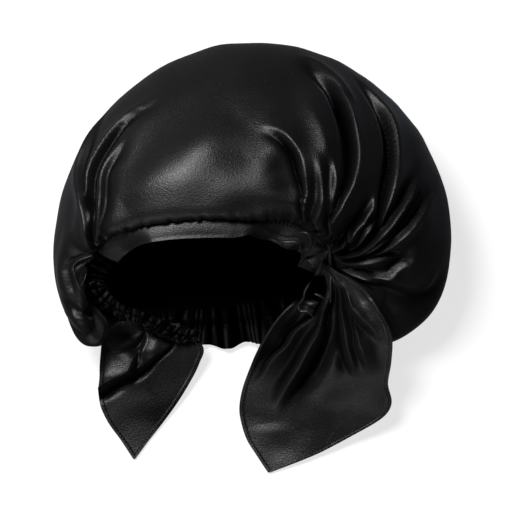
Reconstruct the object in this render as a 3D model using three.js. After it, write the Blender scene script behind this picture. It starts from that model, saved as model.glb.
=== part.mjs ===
// A puffed satin sleep bonnet lying on a surface, with its face opening towards -Y and upwards.
// Millimetres. X runs across the bonnet, Y back from the opening, Z up, and z = 0 is the surface.
import * as THREE from "three";

// Cloth
const clothThickness = 1.6;
const bandThickness = 2.4;
const seamGap = 0.9;
const restClearance = 0.9;

// Crown: a stuffed ball of cloth whose underside is pressed flat
const crownWidth = 300;
const crownBackReach = 158;
const crownFrontReach = 106;
const crownHeight = 139;
const crownMiddleY = 6;
const girthHeight = 62;
const undersideDrop = 88;
const restBlend = 7;
const crownFoldDepth = 15;

// The powers of the ball's outline, and how far its girth and its lobes draw the cloth out
const BALL = { backPower: 2, frontPower: 2.6, girthDraw: 2.2, lobeDraw: 3.6 };

// A fold's steepest rise, and the shares of its length between which it is full
const FOLD = { slope: 1.1, fullFrom: 0.2, fullTo: 0.45 };

// Face opening: the seam where the crown meets its front band and its nape casing
const openingWidth = 178;
const openingHeight = 122;
const openingReach = 54;
const openingMiddleX = -29;
const openingMiddleY = -18;
const bandWidth = 21;
const bandRuffleDepth = 3.5;
const casingRuffleDepth = 1.5;

// Tie tails
const rightTieLength = 139.5;
const rightTieWidth = 112;
const leftTieLength = 96;
const leftTieWidth = 75;
const tieRootLift = 1.5;
const tieRootStep = 6;
const tieFoldDepth = 9;

// How steeply a tie runs down from what it lies on, at its root and beyond a share of its length
const DRAPE = { rootSlope: 3, slope: 1.1, rootShare: 0.3 };

// The seam, a row a station. spin is degrees round the opening from its right end, anticlockwise to
// someone facing it. across, rise and reach are shares of its half width, height and depth. lean turns
// the strip of cloth beyond the seam from inwards to forwards, and width is its share of bandWidth.
const SEAM = [
  { spin: 0, across: 0.99, rise: 0.66, reach: 0.06, lean: 20, width: 0.55 },
  { spin: 20, across: 0.87, rise: 0.8, reach: 0.3, lean: 8, width: 0.9 },
  { spin: 42, across: 0.62, rise: 0.9, reach: 0.47, lean: 5, width: 1 },
  { spin: 68, across: 0.29, rise: 0.965, reach: 0.49, lean: 5, width: 0.85 },
  { spin: 92, across: -0.03, rise: 1, reach: 0.51, lean: 5, width: 1 },
  { spin: 120, across: -0.42, rise: 0.975, reach: 0.48, lean: 5, width: 1 },
  { spin: 145, across: -0.71, rise: 0.9, reach: 0.41, lean: 8, width: 0.95 },
  { spin: 163, across: -0.9, rise: 0.8, reach: 0.31, lean: 12, width: 0.9 },
  { spin: 178, across: -1.0, rise: 0.67, reach: 0.14, lean: 14, width: 0.75 },
  { spin: 195, across: -1.11, rise: 0.53, reach: -0.03, lean: 12, width: 0.75 },
  { spin: 213, across: -1.04, rise: 0.37, reach: -0.28, lean: 12, width: 0.75 },
  { spin: 230, across: -0.88, rise: 0.22, reach: -0.44, lean: 25, width: 0.75 },
  { spin: 250, across: -0.57, rise: 0.11, reach: -0.5, lean: 60, width: 0.75 },
  { spin: 270, across: -0.22, rise: 0.045, reach: -0.52, lean: 112, width: 0.8 },
  { spin: 292, across: 0.21, rise: 0.04, reach: -0.46, lean: 112, width: 0.9 },
  { spin: 315, across: 0.6, rise: 0.1, reach: -0.36, lean: 95, width: 0.9 },
  { spin: 337, across: 0.88, rise: 0.33, reach: -0.3, lean: 35, width: 0.6 },
  { spin: 350, across: 0.98, rise: 0.52, reach: -0.17, lean: 20, width: 0.6 },
];

// Where the crown is drawn in: turn is degrees round the girth, spin the same place on the seam, spread
// how much of the girth is drawn in there and hold the share that is taken up.
const RIGHT_CINCH = { turn: 20, spin: 0, spread: 64, hold: 0.92 };
const LEFT_CINCH = { turn: 172, spin: 181, spread: 50, hold: 0.92 };

// How the crown leaves the seam. lean and aside are how far the girth leans forwards and sideways over
// the surface, as shares of its half width, and swell is the share of the way back by which it is full.
const LOBES = [
  { turn: 0, lean: 0.4, aside: 0, swell: 0.62 },
  { turn: 40, lean: 0.08, aside: 0, swell: 0.55 },
  { turn: 90, lean: -0.1, aside: 0, swell: 0.42 },
  { turn: 140, lean: 0, aside: 0, swell: 0.46 },
  { turn: 175, lean: 0.4, aside: 0, swell: 0.5 },
  { turn: 200, lean: 1.4, aside: -0.2, swell: 0.5 },
  { turn: 225, lean: 1.6, aside: -0.6, swell: 0.5 },
  { turn: 248, lean: 0.8, aside: -0.4, swell: 0.45 },
  { turn: 275, lean: -0.2, aside: 0, swell: 0.4 },
  { turn: 320, lean: 1.1, aside: 0.2, swell: 0.5 },
];

// Folds of the crown, and two broad swellings. turn and width are degrees round the girth, depth is a
// share of crownFoldDepth, and from and to are shares of the way from the seam to the back.
const CROWN_FOLDS = [
  { turn: 98, width: 8, depth: 0.5, from: 0, to: 0.42 },
  { turn: 84, width: 6, depth: 0.8, from: 0, to: 0.8 },
  { turn: 71, width: 6, depth: 1, from: 0, to: 0.85 },
  { turn: 60, width: 5, depth: 0.6, from: 0, to: 0.75 },
  { turn: 50, width: 6, depth: 1, from: 0, to: 0.7 },
  { turn: 39, width: 6, depth: 0.8, from: 0, to: 0.62 },
  { turn: 27, width: 6, depth: 0.9, from: 0, to: 0.6 },
  { turn: 14, width: 7, depth: 0.6, from: 0, to: 0.4 },
  { turn: 1, width: 8, depth: 0.9, from: 0, to: 0.55 },
  { turn: -15, width: 8, depth: 0.6, from: 0, to: 0.45 },
  { turn: 128, width: 6, depth: 0.7, from: 0, to: 0.75 },
  { turn: 143, width: 6, depth: 0.7, from: 0, to: 0.7 },
  { turn: 160, width: 7, depth: 0.5, from: 0, to: 0.5 },
  { turn: 180, width: 8, depth: 0.7, from: 0, to: 0.45 },
  { turn: 198, width: 8, depth: 0.6, from: 0, to: 0.45 },
  { turn: 214, width: 8, depth: 0.5, from: 0, to: 0.4 },
  { turn: 158, width: 38, depth: -0.55, from: 0.3, to: 1 },
  { turn: 208, width: 28, depth: 0.9, from: 0, to: 0.95 },
];

// Tie stations. along is a share of the tie's length, left and right are its edges as shares of its
// width from its root, and riseLeft and riseRight are its edges' heights as shares of the root's.
const RIGHT_TIE = [
  { along: 0, left: -0.085, right: -0.005, riseLeft: 0.9, riseRight: 0.9 },
  { along: 0.1, left: -0.17, right: 0.2, riseLeft: 0.86, riseRight: 0.94 },
  { along: 0.22, left: -0.34, right: 0.32, riseLeft: 0.74, riseRight: 0.93 },
  { along: 0.34, left: -0.46, right: 0.4, riseLeft: 0.52, riseRight: 0.82 },
  { along: 0.46, left: -0.54, right: 0.405, riseLeft: 0.3, riseRight: 0.62 },
  { along: 0.56, left: -0.59, right: 0.39, riseLeft: 0.17, riseRight: 0.45 },
  { along: 0.65, left: -0.61, right: 0.42, riseLeft: 0.1, riseRight: 0.3 },
  { along: 0.72, left: -0.6, right: 0.36, riseLeft: 0.06, riseRight: 0.21 },
  { along: 0.82, left: -0.56, right: 0.13, riseLeft: 0.04, riseRight: 0.1 },
  { along: 0.91, left: -0.49, right: -0.1, riseLeft: 0.03, riseRight: 0.05 },
  { along: 1, left: -0.415, right: -0.395, riseLeft: 0.012, riseRight: 0.012 },
];
const LEFT_TIE = [
  { along: 0, left: -0.2, right: 0.42, riseLeft: 0.9, riseRight: 0.6 },
  { along: 0.12, left: -0.3, right: 0.62, riseLeft: 0.9, riseRight: 0.5 },
  { along: 0.25, left: -0.34, right: 0.72, riseLeft: 0.75, riseRight: 0.35 },
  { along: 0.4, left: -0.355, right: 0.65, riseLeft: 0.5, riseRight: 0.22 },
  { along: 0.55, left: -0.37, right: 0.52, riseLeft: 0.28, riseRight: 0.14 },
  { along: 0.7, left: -0.29, right: 0.35, riseLeft: 0.12, riseRight: 0.08 },
  { along: 0.85, left: -0.15, right: 0.17, riseLeft: 0.05, riseRight: 0.05 },
  { along: 1, left: -0.02, right: 0, riseLeft: 0.03, riseRight: 0.03 },
];

// Folds of a tie. at is the place across it, from -1 at its left edge to 1 at its right, and depth is a
// share of tieFoldDepth.
const RIGHT_TIE_FOLDS = [
  { at: -0.95, width: 0.14, depth: 0.4, from: 0, to: 0.6 },
  { at: -0.55, width: 0.16, depth: 0.9, from: 0, to: 0.75 },
  { at: -0.15, width: 0.14, depth: 0.8, from: 0, to: 0.65 },
  { at: 0.2, width: 0.13, depth: 1, from: 0, to: 0.6 },
  { at: 0.55, width: 0.14, depth: 0.8, from: 0, to: 0.5 },
  { at: 0.9, width: 0.14, depth: 0.9, from: 0, to: 0.5 },
];
const LEFT_TIE_FOLDS = [
  { at: -0.8, width: 0.3, depth: 0.7, from: 0, to: 0.6 },
  { at: -0.1, width: 0.25, depth: 0.9, from: 0, to: 0.5 },
  { at: 0.5, width: 0.25, depth: 0.7, from: 0, to: 0.5 },
];

// Where each piece runs round the seam, in degrees of spin, and how many ruffles it has
const BAND_SPAN = { from: 4, to: 174, ruffles: 2.5, ruffledTo: 60 };
const CASING_SPAN = { from: 176, to: 362, ruffles: 17 };

// Where each tie springs from the strip, as degrees of spin and a share of the strip's width
const RIGHT_ROOT = { spin: 1, share: 0.05 };
const LEFT_ROOT = { spin: 236, share: 0.8 };

// How finely each piece is divided
const CROWN_GRID = { columns: 88, rows: 20, crowding: 1.25, end: 0.97 };
const BAND_GRID = { columns: 36, rows: 3 };
const CASING_GRID = { columns: 68, rows: 2 };
const RIGHT_TIE_GRID = { columns: 20, rows: 21 };
const LEFT_TIE_GRID = { columns: 14, rows: 16 };
const PROP_GRID = { turns: 180, ways: 20, farthestWay: 0.5, spins: 240, rises: 8 };
const NORMAL_STEP = { halfTurn: 0.5, halfWay: 0.01 };
const GATHER_STEPS = 720;
const FULL_TURN = 360;

const { degToRad, smoothstep, clamp, lerp, euclideanModulo } = THREE.MathUtils;
const wrapped = (angle, from) => euclideanModulo(angle - from, FULL_TURN) + from;

function spaced(from, to, steps) {
  return Array.from({ length: steps + 1 }, (_, i) => lerp(from, to, i / steps));
}

// The smooth value of one column of a table between its rows. Where the table goes round, its last row
// joins its first.
function tableValue(rows, key, at, column, round) {
  const count = rows.length;
  const row = (i) => rows[round ? euclideanModulo(i, count) : clamp(i, 0, count - 1)];
  const place = (i) => row(i)[key] + (round ? Math.floor(i / count) * FULL_TURN : 0);
  const here = round ? wrapped(at, rows[0][key]) : at;
  const last = round ? count - 1 : count - 2;
  let i = 0;
  while (i < last && place(i + 1) <= here) i += 1;
  const step = place(i + 1) - place(i);
  const slope = (k) => {
    const run = place(k + 1) - place(k - 1);
    return (step * (row(k + 1)[column] - row(k - 1)[column])) / run;
  };
  const s = (here - place(i)) / step;
  const a = row(i)[column];
  const b = row(i + 1)[column];
  const bend = s * (2 * (a - b) + slope(i) + slope(i + 1)) + 3 * (b - a) - 2 * slope(i) - slope(i + 1);
  return a + s * (slope(i) + s * bend);
}

// Presses whatever is lower than the surface flat onto it.
function pressed(z) {
  if (z >= restBlend) return z;
  if (z <= -restBlend) return 0;
  return (z + restBlend) ** 2 / (4 * restBlend);
}

// The height of all folds at one place. spacing is the millimetres that one step of the key measures
// there, and a narrow fold rises no steeper than FOLD.slope.
function foldHeight(rows, key, at, way, spacing, tallest, round) {
  let height = 0;
  for (const fold of rows) {
    const off = round ? wrapped(at - fold[key], -FULL_TURN / 2) : at - fold[key];
    const across = Math.exp(-((off / fold.width) ** 2));
    const start = smoothstep(way, fold.from, lerp(fold.from, fold.to, FOLD.fullFrom));
    const end = 1 - smoothstep(way, lerp(fold.from, fold.to, FOLD.fullTo), fold.to);
    const rise = tallest * Math.abs(fold.depth) * start * end;
    const limit = FOLD.slope * fold.width * spacing;
    height += (Math.sign(fold.depth) * across * rise) / (1 + rise / limit);
  }
  return height;
}

// The seam, and the strip of band or casing that runs on beyond it
const openingForward = new THREE.Vector3(0, -openingHeight, openingReach).normalize();
const openingMiddle = new THREE.Vector3(openingMiddleX, openingMiddleY, openingHeight / 2);

function seamPoint(spin) {
  const value = (column) => tableValue(SEAM, "spin", spin, column, true);
  return new THREE.Vector3(
    openingMiddleX + (value("across") * openingWidth) / 2,
    openingMiddleY + value("reach") * openingReach,
    value("rise") * openingHeight,
  );
}

// share is 0 at the seam and 1 at the free edge, and lift is the way off the strip's own plane.
function stripPoint(spin, share, lift) {
  const value = (column) => tableValue(SEAM, "spin", spin, column, true);
  const seam = seamPoint(spin);
  const inward = openingMiddle.clone().sub(seam);
  inward.addScaledVector(openingForward, -inward.dot(openingForward)).normalize();
  const lean = degToRad(value("lean"));
  const down = inward.clone().multiplyScalar(Math.cos(lean));
  down.addScaledVector(openingForward, Math.sin(lean));
  const out = inward.multiplyScalar(-Math.sin(lean));
  out.addScaledVector(openingForward, Math.cos(lean));
  seam.addScaledVector(down, seamGap + share * value("width") * bandWidth);
  return seam.addScaledVector(out, lift);
}

function bandPoint(spin, rise) {
  const ruffled = 1 - smoothstep(spin, 0, BAND_SPAN.ruffledTo);
  const wave = Math.sin((2 * Math.PI * BAND_SPAN.ruffles * spin) / BAND_SPAN.ruffledTo);
  return stripPoint(spin, 1 - rise, (1 - rise) * bandRuffleDepth * ruffled * wave);
}

// depth is 0 on the casing's outer side.
function casingPoint(spin, rise, depth = 0) {
  const share = (spin - CASING_SPAN.from) / (CASING_SPAN.to - CASING_SPAN.from);
  const wave = Math.sin(2 * Math.PI * CASING_SPAN.ruffles * share);
  const p = stripPoint(spin, 1 - rise, (1 - rise) * casingRuffleDepth * wave - depth);
  p.z = Math.max(p.z, depth);
  return p;
}

// Turn round the girth to spin round the seam: the seam takes little of the girth where it is drawn in
const gather = [0];
for (let i = 0; i < GATHER_STEPS; i += 1) {
  const turn = ((i + 0.5) * FULL_TURN) / GATHER_STEPS;
  let give = 1;
  for (const cinch of [RIGHT_CINCH, LEFT_CINCH]) {
    const off = wrapped(turn - cinch.turn, -FULL_TURN / 2);
    give *= 1 - cinch.hold * Math.exp(-((off / cinch.spread) ** 4));
  }
  gather.push(gather[i] + give);
}

function gathered(turn) {
  const whole = Math.floor(turn / FULL_TURN);
  const place = ((turn - whole * FULL_TURN) * GATHER_STEPS) / FULL_TURN;
  const i = Math.min(Math.floor(place), GATHER_STEPS - 1);
  return whole * gather[GATHER_STEPS] + lerp(gather[i], gather[i + 1], place - i);
}

function spinOf(turn) {
  const here = wrapped(turn, RIGHT_CINCH.turn);
  const above = here <= LEFT_CINCH.turn;
  const start = above ? RIGHT_CINCH : LEFT_CINCH;
  const endTurn = above ? LEFT_CINCH.turn : RIGHT_CINCH.turn + FULL_TURN;
  const endSpin = above ? LEFT_CINCH.spin : RIGHT_CINCH.spin + FULL_TURN;
  const share = (gathered(here) - gathered(start.turn)) / (gathered(endTurn) - gathered(start.turn));
  return lerp(start.spin, endSpin, share);
}

// The stuffed ball, whose half sizes differ in front and behind and above and below its girth
const ballReach = (y) => (y > 0 ? crownBackReach : crownFrontReach);
const ballRise = (z) => (z > 0 ? crownHeight - girthHeight : undersideDrop);

function ballPoint({ x, y, z }) {
  const power = y > 0 ? BALL.backPower : BALL.frontPower;
  const r = (Math.hypot(x, z) ** power + Math.abs(y) ** power) ** (-1 / power);
  return new THREE.Vector3(
    (x * r * crownWidth) / 2,
    crownMiddleY + y * r * ballReach(y),
    girthHeight + z * r * ballRise(z),
  );
}

function ballDirection(p) {
  const y = p.y - crownMiddleY;
  const z = p.z - girthHeight;
  return new THREE.Vector3(p.x / (crownWidth / 2), y / ballReach(y), z / ballRise(z)).normalize();
}

// The crown without folds. way runs from 0 at the seam to 1 at the back.
function crownForm(turn, way) {
  const value = (column) => tableValue(LOBES, "turn", turn, column, true);
  const seam = seamPoint(spinOf(turn));
  const angle = degToRad(turn);
  const girth = new THREE.Vector3(Math.cos(angle) + value("aside"), 0, Math.sin(angle));
  const direction = ballDirection(seam).multiplyScalar((1 - way) ** 2);
  direction.addScaledVector(girth, BALL.girthDraw * way * (1 - way));
  direction.y += way ** 2 - BALL.lobeDraw * value("lean") * way * (1 - way) ** 2;
  const full = 1 - (1 - clamp(way / value("swell"), 0, 1)) ** 2;
  return seam.lerp(ballPoint(direction.normalize()), full);
}

function crownPoint(turn, way) {
  const p = crownForm(turn, way);
  const { halfTurn, halfWay } = NORMAL_STEP;
  const inner = Math.min(way, 1 - 2 * halfWay);
  const across = crownForm(turn + halfTurn, inner).sub(crownForm(turn - halfTurn, inner));
  const along = crownForm(turn, inner + halfWay).sub(crownForm(turn, Math.max(inner - halfWay, 0)));
  const spacing = across.length();
  const normal = along.cross(across).normalize();
  p.addScaledVector(normal, foldHeight(CROWN_FOLDS, "turn", turn, way, spacing, crownFoldDepth, true));
  p.z = pressed(p.z);
  return p;
}

// What a tie may rest on, as points
const props = [];
for (const turn of spaced(0, FULL_TURN, PROP_GRID.turns)) {
  for (const way of spaced(0, PROP_GRID.farthestWay, PROP_GRID.ways)) props.push(crownPoint(turn, way));
}
for (const spin of spaced(CASING_SPAN.from, CASING_SPAN.to, PROP_GRID.spins)) {
  for (const rise of spaced(0, 1, PROP_GRID.rises)) {
    props.push(casingPoint(spin, rise), casingPoint(spin, rise, bandThickness));
  }
}

// The height at which the outer side of cloth lies over the props, running down from each at one slope.
function drapeHeight(p, slope) {
  const lift = clothThickness + restClearance;
  const steep = Math.hypot(1, slope);
  let height = 0;
  for (const prop of props) {
    const away = Math.hypot(prop.x - p.x, prop.y - p.y);
    const near = away * steep < lift * slope;
    const over = near ? Math.sqrt(lift ** 2 - away ** 2) : lift * steep - slope * away;
    height = Math.max(height, prop.z + over);
  }
  return Math.max(height, clothThickness);
}

function tieForm(stations, folds, place, length, width) {
  const root = stripPoint(place.spin, place.share, 0);
  const rootHeight = root.z + tieRootLift;
  return (at, along) => {
    const value = (column) => tableValue(stations, "along", along, column, false);
    const side = (at + 1) / 2;
    const half = ((value("right") - value("left")) * width) / 2;
    const p = new THREE.Vector3(
      root.x + lerp(value("left"), value("right"), side) * width,
      root.y - tieRootStep - along * length,
      lerp(value("riseLeft"), value("riseRight"), side) * rootHeight,
    );
    const slope = lerp(DRAPE.rootSlope, DRAPE.slope, smoothstep(along, 0, DRAPE.rootShare));
    p.z = Math.max(p.z, drapeHeight(p, slope));
    p.z += foldHeight(folds, "at", at, along, half, tieFoldDepth, false);
    return p;
  };
}

// A closed wall of cloth from a grid of points on its outer side: u across, v up or back. A ring goes
// round in u, and its last row closes on one point.
function clothSolid(form, us, vs, thickness, ring) {
  const columns = us.length;
  const rows = vs.length;
  const outer = us.map((u) => vs.map((v) => form(u, v)));
  const column = (i) => (ring ? euclideanModulo(i, columns) : clamp(i, 0, columns - 1));
  const at = (i, j) => outer[column(i)][clamp(j, 0, rows - 1)];
  const positions = [];
  for (const side of [0, 1]) {
    for (let i = 0; i < columns; i += 1) {
      for (let j = 0; j < rows; j += 1) {
        const across = at(i + 1, j).clone().sub(at(i - 1, j));
        const along = at(i, j + 1).clone().sub(at(i, j - 1));
        const p = at(i, j).clone().addScaledVector(along.cross(across).normalize(), -side * thickness);
        positions.push(p.x, p.y, Math.max(p.z, 0));
      }
    }
  }
  const index = [];
  const vertex = (side, i, j) => (side * columns + column(i)) * rows + j;
  const quad = (a, b, c, d) => index.push(a, c, b, a, d, c);
  const seen = (side, a, b, c, d) => (side === 0 ? quad(a, b, c, d) : quad(d, c, b, a));
  const end = rows - 1;
  for (let i = 0; i < (ring ? columns : columns - 1); i += 1) {
    for (const side of [0, 1]) {
      for (let j = 0; j < end; j += 1) {
        const near = [vertex(side, i, j), vertex(side, i + 1, j)];
        seen(side, ...near, vertex(side, i + 1, j + 1), vertex(side, i, j + 1));
      }
    }
    quad(vertex(0, i + 1, 0), vertex(0, i, 0), vertex(1, i, 0), vertex(1, i + 1, 0));
    if (!ring) quad(vertex(0, i, end), vertex(0, i + 1, end), vertex(1, i + 1, end), vertex(1, i, end));
  }
  if (ring) {
    for (const side of [0, 1]) {
      const middle = new THREE.Vector3();
      for (let i = 0; i < columns; i += 1) {
        middle.add(new THREE.Vector3().fromArray(positions, 3 * vertex(side, i, end)));
      }
      const pole = positions.length / 3;
      positions.push(...middle.divideScalar(columns).toArray());
      for (let i = 0; i < columns; i += 1) {
        const rim = [vertex(side, i + 1, end), vertex(side, i, end)];
        index.push(...(side === 0 ? rim : rim.reverse()), pole);
      }
    }
  } else {
    const far = columns - 1;
    for (let j = 0; j < end; j += 1) {
      quad(vertex(0, 0, j), vertex(0, 0, j + 1), vertex(1, 0, j + 1), vertex(1, 0, j));
      quad(vertex(0, far, j + 1), vertex(0, far, j), vertex(1, far, j), vertex(1, far, j + 1));
    }
  }
  const geometry = new THREE.BufferGeometry();
  geometry.setAttribute("position", new THREE.Float32BufferAttribute(positions, 3));
  geometry.setIndex(index);
  geometry.computeVertexNormals();
  return geometry;
}

// Pieces
const satin = (color, roughness) => new THREE.MeshStandardMaterial({ color, roughness, metalness: 0 });
const crownSatin = satin(0x17171a, 0.38);
const bandSatin = satin(0x1b1b1f, 0.42);
const tieSatin = satin(0x161619, 0.38);

function crownGeometry() {
  const turns = spaced(0, FULL_TURN, CROWN_GRID.columns).slice(0, -1);
  const ways = spaced(0, 1, CROWN_GRID.rows).map((s) => CROWN_GRID.end * s ** CROWN_GRID.crowding);
  return clothSolid(crownPoint, turns, ways, clothThickness, true);
}

function stripGeometry(form, span, grid) {
  const spins = spaced(span.from, span.to, grid.columns);
  return clothSolid(form, spins, spaced(0, 1, grid.rows), bandThickness, false);
}

function tieGeometry(form, grid) {
  return clothSolid(form, spaced(-1, 1, grid.columns), spaced(0, 1, grid.rows), clothThickness, false);
}

const rightTie = tieForm(RIGHT_TIE, RIGHT_TIE_FOLDS, RIGHT_ROOT, rightTieLength, rightTieWidth);
const leftTie = tieForm(LEFT_TIE, LEFT_TIE_FOLDS, LEFT_ROOT, leftTieLength, leftTieWidth);

const bonnet = new THREE.Group();
function addPiece(name, geometry, material) {
  const mesh = new THREE.Mesh(geometry, material);
  mesh.name = name;
  bonnet.add(mesh);
}

addPiece("crown", crownGeometry(), crownSatin);
addPiece("front_band", stripGeometry(bandPoint, BAND_SPAN, BAND_GRID), bandSatin);
addPiece("nape_casing", stripGeometry(casingPoint, CASING_SPAN, CASING_GRID), bandSatin);
addPiece("tie_right", tieGeometry(rightTie, RIGHT_TIE_GRID), tieSatin);
addPiece("tie_left", tieGeometry(leftTie, LEFT_TIE_GRID), tieSatin);

export default bonnet;
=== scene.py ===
"""A black satin sleep bonnet that lies puffed out on a pale floor, its face opening towards -Y.

Lengths are millimetres until a mesh is made, and X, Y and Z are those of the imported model.
"""
import math

import bpy
import numpy as np
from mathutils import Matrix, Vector


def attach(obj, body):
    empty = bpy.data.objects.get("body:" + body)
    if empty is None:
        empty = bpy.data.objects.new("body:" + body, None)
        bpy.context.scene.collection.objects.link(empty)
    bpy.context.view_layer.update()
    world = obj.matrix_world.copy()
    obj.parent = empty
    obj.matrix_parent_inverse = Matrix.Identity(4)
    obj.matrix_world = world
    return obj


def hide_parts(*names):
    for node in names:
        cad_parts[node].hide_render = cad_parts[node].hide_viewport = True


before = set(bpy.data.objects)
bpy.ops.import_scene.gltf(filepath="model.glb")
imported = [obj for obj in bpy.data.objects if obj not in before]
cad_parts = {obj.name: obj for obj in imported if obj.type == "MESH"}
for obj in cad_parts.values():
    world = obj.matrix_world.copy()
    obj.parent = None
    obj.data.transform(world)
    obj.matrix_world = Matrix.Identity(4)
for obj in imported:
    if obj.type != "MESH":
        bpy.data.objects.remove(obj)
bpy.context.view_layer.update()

MM = 0.001
FULL_TURN = 360.0


# Tables and the cloth's form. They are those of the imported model, apart from the left tie's widths and the
# slopes at which both ties drape, which follow the finished cloth.

def table(names, *rows):
    """Named columns of numbers from rows."""
    return {name: np.array(column, float) for name, column in zip(names.split(), zip(*rows))}


CLOTH = 1.6
SEAM_GAP = 0.9
REST_CLEARANCE = 0.9
CROWN_WIDTH = 300
CROWN_BACK_REACH = 158
CROWN_FRONT_REACH = 106
CROWN_HEIGHT = 139
CROWN_MIDDLE_Y = 6
GIRTH_HEIGHT = 62
UNDERSIDE_DROP = 88
REST_BLEND = 7
BACK_FULLNESS = 2
FRONT_FULLNESS = 2.6
CROWN_FOLD_DEPTH = 15
FOLD_STEEPNESS = 1.1
FOLD_FULL_FROM = 0.2
FOLD_FULL_TO = 0.45
GIRTH_PULL = 2.2
LEAN_PULL = 3.6
OPENING_WIDTH = 178
OPENING_HEIGHT = 122
OPENING_REACH = 54
OPENING_MIDDLE = np.array([-29, -18, OPENING_HEIGHT / 2])
BAND_WIDTH = 21
RIGHT_TIE_SIZE = (112, 139.5)
LEFT_TIE_SIZE = (75, 96)
TIE_ROOT_LIFT = 1.5
TIE_ROOT_STEP = 6
TIE_FOLD_DEPTH = 9
ROOT_DRAPE_SLOPE = 3
ROOT_DRAPE_REACH = 0.3
DRAPE_SLOPE = 2
DRAPE_REACH = 60
DRAPE_GIVE = 1.5
RELAX_PASSES = 260
POLE_WAY = 0.98
TURN_STEP = 0.5
WAY_STEP = 0.01
# Long sums are done in parts, to fit in memory
DRAPE_PARTS = 40
LINE_PARTS = 6

SEAM = table(
    "spin across rise reach lean width",
    (0, 0.99, 0.66, 0.06, 20, 0.55), (20, 0.87, 0.8, 0.3, 8, 0.9), (42, 0.62, 0.9, 0.47, 5, 1),
    (68, 0.29, 0.965, 0.49, 5, 0.85), (92, -0.03, 1, 0.51, 5, 1), (120, -0.42, 0.975, 0.48, 5, 1),
    (145, -0.71, 0.9, 0.41, 8, 0.95), (163, -0.9, 0.8, 0.31, 12, 0.9), (178, -1.0, 0.67, 0.14, 14, 0.75),
    (195, -1.11, 0.53, -0.03, 12, 0.75), (213, -1.04, 0.37, -0.28, 12, 0.75),
    (230, -0.88, 0.22, -0.44, 25, 0.75), (250, -0.57, 0.11, -0.5, 60, 0.75),
    (270, -0.22, 0.045, -0.52, 112, 0.8), (292, 0.21, 0.04, -0.46, 112, 0.9),
    (315, 0.6, 0.1, -0.36, 95, 0.9), (337, 0.88, 0.33, -0.3, 35, 0.6), (350, 0.98, 0.52, -0.17, 20, 0.6),
)
RIGHT_CINCH = {"turn": 20, "spin": 0, "spread": 64, "hold": 0.92}
LEFT_CINCH = {"turn": 172, "spin": 181, "spread": 50, "hold": 0.92}
LOBES = table(
    "turn lean aside swell",
    (0, 0.4, 0, 0.62), (40, 0.08, 0, 0.55), (90, -0.1, 0, 0.42), (140, 0, 0, 0.46), (175, 0.4, 0, 0.5),
    (200, 1.4, -0.2, 0.5), (225, 1.6, -0.6, 0.5), (248, 0.8, -0.4, 0.45), (275, -0.2, 0, 0.4),
    (320, 1.1, 0.2, 0.5),
)
MAIN_FOLDS = table(
    "at width depth start end",
    (98, 8, 0.5, 0, 0.42), (84, 6, 0.8, 0, 0.8), (71, 6, 1, 0, 0.85), (60, 5, 0.6, 0, 0.75),
    (50, 6, 1, 0, 0.7), (39, 6, 0.8, 0, 0.62), (27, 6, 0.9, 0, 0.6), (14, 7, 0.6, 0, 0.4),
    (1, 8, 0.9, 0, 0.55), (-15, 8, 0.6, 0, 0.45), (128, 6, 0.7, 0, 0.75), (143, 6, 0.7, 0, 0.7),
    (160, 7, 0.5, 0, 0.5), (180, 8, 0.7, 0, 0.45), (198, 8, 0.6, 0, 0.45), (214, 8, 0.5, 0, 0.4),
    (158, 38, -0.55, 0.3, 1), (208, 28, 0.9, 0, 0.95),
)
RIGHT_TIE = table(
    "along left right rise_left rise_right",
    (0, -0.085, -0.005, 0.9, 0.9), (0.1, -0.17, 0.2, 0.86, 0.94), (0.22, -0.34, 0.32, 0.74, 0.93),
    (0.34, -0.46, 0.4, 0.52, 0.82), (0.46, -0.54, 0.405, 0.3, 0.62), (0.56, -0.59, 0.39, 0.17, 0.45),
    (0.65, -0.61, 0.42, 0.1, 0.3), (0.72, -0.6, 0.36, 0.06, 0.21), (0.82, -0.56, 0.13, 0.04, 0.1),
    (0.91, -0.49, -0.1, 0.03, 0.05), (1, -0.415, -0.395, 0.012, 0.012),
)
LEFT_TIE = table(
    "along left right rise_left rise_right",
    (0, -0.2, 0.5, 0.9, 0.6), (0.12, -0.3, 0.69, 0.9, 0.5), (0.25, -0.34, 0.65, 0.75, 0.35),
    (0.4, -0.355, 0.55, 0.5, 0.22), (0.55, -0.37, 0.43, 0.28, 0.14), (0.7, -0.29, 0.29, 0.12, 0.08),
    (0.85, -0.15, 0.14, 0.05, 0.05), (1, -0.02, 0, 0.03, 0.03),
)
RIGHT_ROOT = (1, 0.05)
LEFT_ROOT = (236, 0.8)
BAND_SPAN = (4, 174)
CASING_SPAN = (176, 362)


def mix(a, b, share):
    return a + (b - a) * share


def smoothstep(x, low, high):
    s = np.clip((x - low) / (high - low), 0, 1)
    return s * s * (3 - 2 * s)


def between(x, rise, fade):
    """A soft step up over one range of x, and down again over another."""
    return smoothstep(x, *rise) * (1 - smoothstep(x, *fade))


def bump(x, middle, width, power=2):
    """1 at the middle, and less on both sides of it."""
    return np.exp(-(((x - middle) / width) ** power))


def wrapped(angle, start):
    return (angle - start) % FULL_TURN + start


def unit(vectors):
    return vectors / np.maximum(np.linalg.norm(vectors, axis=-1, keepdims=True), 1e-9)


def stacked(*parts):
    return np.stack(np.broadcast_arrays(*parts), axis=-1)


def run_along(line):
    """How far each point of a line is from its start."""
    return np.concatenate([[0], np.cumsum(np.linalg.norm(np.diff(line, axis=0), axis=-1))])


def between_points(grid, column, row):
    """Places on a grid of points, between its columns and rows, and the nearest lower column and row."""
    i = np.clip(column.astype(int), 0, len(grid) - 2)
    j = np.clip(row.astype(int), 0, grid.shape[1] - 2)
    a, b = (column - i)[:, None], (row - j)[:, None]
    return mix(mix(grid[i, j], grid[i + 1, j], a), mix(grid[i, j + 1], grid[i + 1, j + 1], a), b), i, j


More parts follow.
